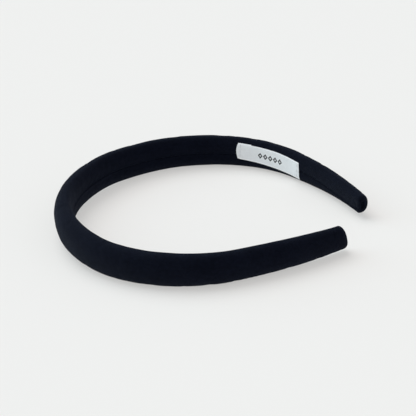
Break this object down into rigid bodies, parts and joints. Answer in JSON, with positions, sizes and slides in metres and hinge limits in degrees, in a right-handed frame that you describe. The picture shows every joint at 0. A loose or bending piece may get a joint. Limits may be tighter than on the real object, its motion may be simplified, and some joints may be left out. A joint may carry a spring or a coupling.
{
  "type": "padded headband",
  "caption": "Cloth-covered padded headband with a springy core strip; opens at the arms and grips the head from ear to ear.",
  "frame": {"origin": "centre of the crown's inner cylinder, half way across the band's width", "axes": "+Z across the band's width, -X towards the middle of the crown, +X towards the tips, +Y towards the arm that carries the label; the band lies on its lower side edge"},
  "size_m": [0.1621, 0.1442, 0.0194],
  "materials": {
    "cover_cloth": "fine matt crepe weave, navy black",
    "cover_thread": "spun polyester thread, navy black",
    "foam": "open-cell foam",
    "wadding": "needled polyester wadding",
    "core_plastic": "moulded, satin",
    "label_satin": "woven satin ribbon, off-white",
    "label_thread": "spun polyester thread, off-white"
  },
  "bodies": {
    "crown": {"core_strip_crown": "core_plastic", "foam_pad_crown": "foam", "inner_wadding_crown": "wadding", "fabric_cover_crown": "cover_cloth", "seam_thread_crown": "cover_thread"},
    "left_arm": {"core_strip_left": "core_plastic", "foam_pad_left": "foam", "inner_wadding_left": "wadding", "fabric_cover_left": "cover_cloth", "seam_thread_left": "cover_thread", "label": "label_satin", "label_stitches": "label_thread"},
    "right_arm": {"core_strip_right": "core_plastic", "foam_pad_right": "foam", "inner_wadding_right": "wadding", "fabric_cover_right": "cover_cloth", "seam_thread_right": "cover_thread"}
  },
  "joints": [
    {"name": "left_arm_flex", "type": "hinge", "parent": "crown", "child": "left_arm", "pos_m": [-0.03598, 0.05335, 0], "axis": [0, 0, 1], "range_deg": [-6, 22], "stiffness_Nm_per_rad": 1},
    {"name": "right_arm_flex", "type": "hinge", "parent": "crown", "child": "right_arm", "pos_m": [-0.03598, -0.05335, 0], "axis": [0, 0, -1], "range_deg": [-6, 22], "stiffness_Nm_per_rad": 1}
  ]
}
